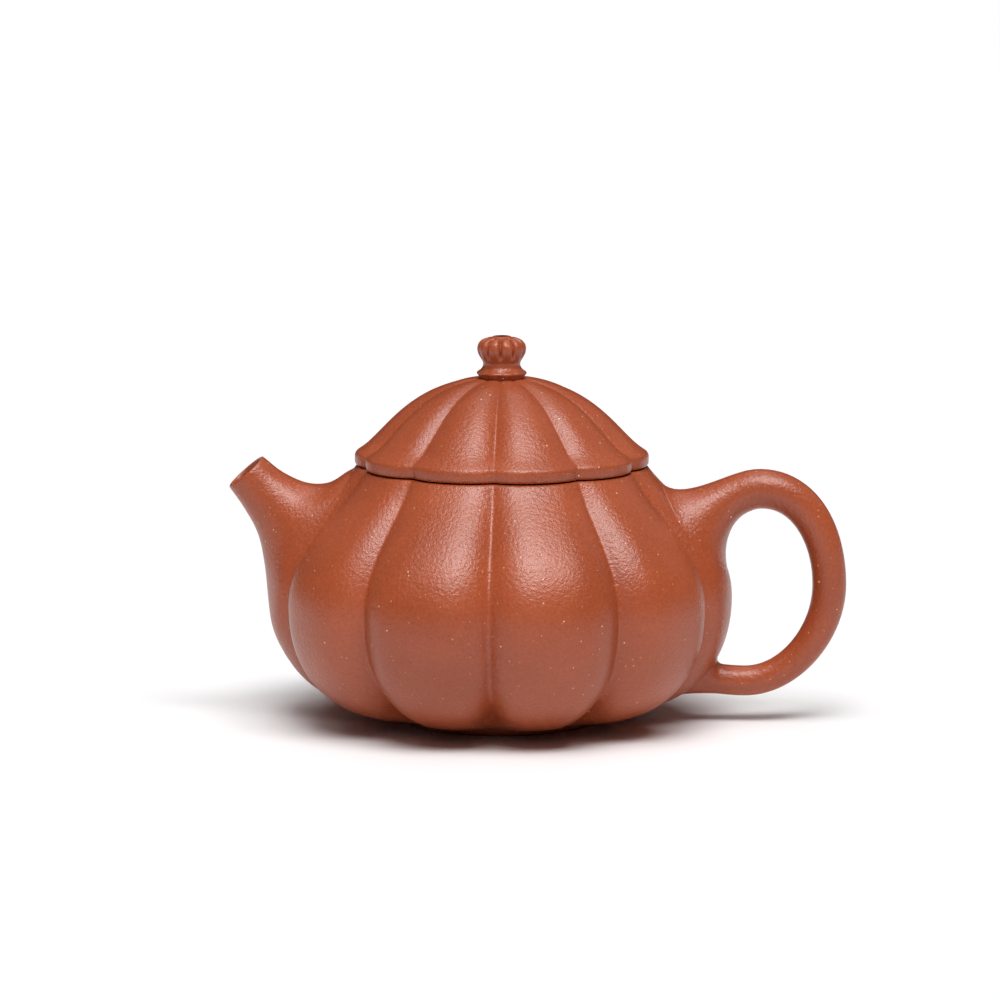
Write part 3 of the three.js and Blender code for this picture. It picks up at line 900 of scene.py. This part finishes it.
def make_floor():
    size = 3.0
    corners = [(-size, -size, 0), (size, -size, 0), (size, size, 0), (-size, size, 0)]
    floor = new_piece("floor", corners, faces=[(0, 1, 2, 3)])
    paper = bpy.data.materials.new("white_paper")
    paper.use_nodes = True
    shader = paper.node_tree.nodes["Principled BSDF"]
    shader.inputs["Base Color"].default_value = (0.88, 0.88, 0.885, 1)
    shader.inputs["Roughness"].default_value = 0.7
    floor.data.materials.append(paper)


def soft_light(name, azimuth, elevation, spread, strength):
    """A far lamp whose width is an angle; azimuth 0 is the front and 90 the right."""
    lamp = bpy.data.lights.new(name, "SUN")
    lamp.angle = math.radians(spread)
    lamp.energy = strength
    light = bpy.data.objects.new(name, lamp)
    bpy.context.scene.collection.objects.link(light)
    a, e = math.radians(azimuth), math.radians(elevation)
    back = Vector((math.sin(a) * math.cos(e), -math.cos(a) * math.cos(e), math.sin(e)))
    light.rotation_euler = back.to_track_quat("Z", "Y").to_euler()


def make_studio():
    scene = bpy.context.scene
    make_floor()
    world = bpy.data.worlds.new("white_room")
    world.use_nodes = True
    tree = world.node_tree
    seen = tree.nodes.new("ShaderNodeLightPath").outputs["Is Camera Ray"]
    glow = add(tree, "ShaderNodeMapRange", {"Value": seen, 3: ROOM_LIGHT, 4: 1.0}).outputs[0]
    tree.links.new(glow, tree.nodes["Background"].inputs["Strength"])
    tree.nodes["Background"].inputs["Color"].default_value = (1, 1, 1, 1)
    scene.world = world
    for name, azimuth, elevation, spread, strength in LAMPS:
        soft_light(name, azimuth, elevation, spread, strength)
    scene.view_settings.view_transform = "Standard"


def make_camera():
    """A long lens, a little to the right and a little above the lid's edge."""
    aim = spot(-0.4, 52.4)
    distance, azimuth, elevation = 1.2, math.radians(3.4), math.radians(8.2)
    back = Vector((
        math.sin(azimuth) * math.cos(elevation),
        -math.cos(azimuth) * math.cos(elevation),
        math.sin(elevation),
    ))
    lens = bpy.data.cameras.new("camera")
    lens.lens = 182.9
    lens.sensor_width = 36
    camera = bpy.data.objects.new("camera", lens)
    bpy.context.scene.collection.objects.link(camera)
    camera.location = aim + back * distance
    camera.rotation_euler = (-back).to_track_quat("-Z", "Y").to_euler()
    bpy.context.scene.camera = camera


lobed_skin = lobed_skin_tree()
drilled_cap = drilled_tree()
make_camera()
make_teapot()
make_studio()
